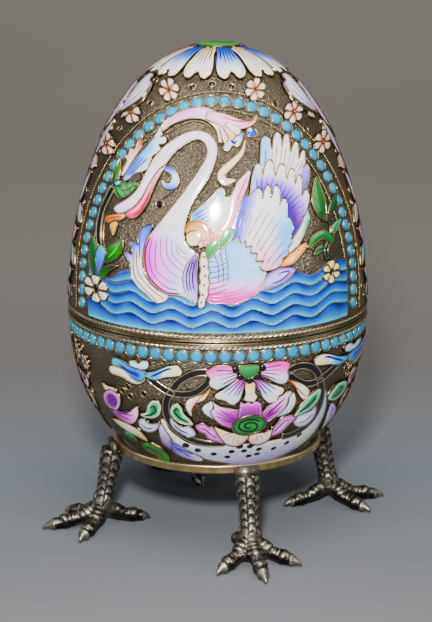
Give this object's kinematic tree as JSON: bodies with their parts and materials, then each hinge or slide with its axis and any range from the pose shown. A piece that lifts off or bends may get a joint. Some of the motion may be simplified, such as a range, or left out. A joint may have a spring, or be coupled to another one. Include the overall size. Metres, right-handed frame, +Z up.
{
  "type": "cloisonne egg on bird legs",
  "caption": "Hollow enamelled silver egg that parts at a roped waist, with a swan panel in a beaded arch, in a ring on cast bird's legs.",
  "frame": {"origin": "on the floor under the middle of the egg", "axes": "+Z up along the egg's axis; the swan panel faces -Y"},
  "size_m": [0.0852, 0.0852, 0.1158],
  "materials": {
    "enamelled_silver": "glossy enamel cells between silver wires on matted silver",
    "silver_wire": "twisted bright wire",
    "gilt_band": "worn gilt",
    "cast_silver": "cast and oxidised, bright on its high places"
  },
  "bodies": {
    "root": {"egg_lid": "enamelled_silver", "lid_rope": "silver_wire", "egg_cup": "enamelled_silver", "cup_rope": "silver_wire", "stand_ring": "gilt_band", "leg_front": "cast_silver", "leg_right": "cast_silver", "leg_back": "cast_silver", "leg_left": "cast_silver"}
  },
  "joints": []
}
